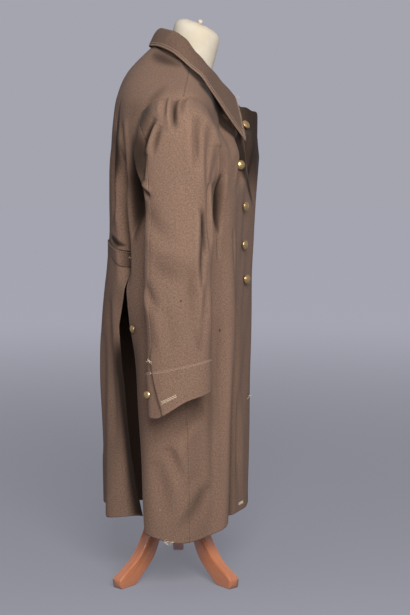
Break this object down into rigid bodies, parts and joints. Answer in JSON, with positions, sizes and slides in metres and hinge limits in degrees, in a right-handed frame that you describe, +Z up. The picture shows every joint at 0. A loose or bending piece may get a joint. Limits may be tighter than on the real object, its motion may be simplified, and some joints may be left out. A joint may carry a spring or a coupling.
{
  "type": "greatcoat on a dress form",
  "caption": "Long double-breasted wool greatcoat with a stand-and-fall collar, half-belt and open back vent, hanging open-necked on a limbless dress form with sabre legs.",
  "frame": {"origin": "on the floor, under the middle of the form's pole", "axes": "+Z up; the wearer faces -Y and the wearer's right side is -X"},
  "size_m": [0.6162, 0.3766, 1.2713],
  "materials": {
    "wool": "coarse milled wool",
    "brass": "dull, worn",
    "cream_cloth": "plain cotton",
    "wood": "varnished"
  },
  "bodies": {
    "root": {"front_right": "wool", "front_left": "wool", "back_right": "wool", "back_left": "wool", "sleeve_upper_right": "wool", "sleeve_upper_left": "wool", "sleeve_under_right": "wool", "sleeve_under_left": "wool", "cuff_right": "wool", "cuff_left": "wool", "collar_stand": "wool", "collar_fall": "wool", "half_belt": "wool", "button_right_1": "brass", "button_right_2": "brass", "button_right_3": "brass", "button_right_4": "brass", "button_right_5": "brass", "button_left_1": "brass", "button_left_2": "brass", "button_left_3": "brass", "button_left_4": "brass", "button_left_5": "brass", "button_hip": "brass", "button_cuff_right": "brass", "button_cuff_left": "brass", "form_torso": "cream_cloth", "form_neck": "cream_cloth", "form_knob": "cream_cloth", "stand_hub": "wood", "stand_pole": "wood", "stand_leg_1": "wood", "stand_leg_2": "wood", "stand_leg_3": "wood"}
  },
  "joints": []
}
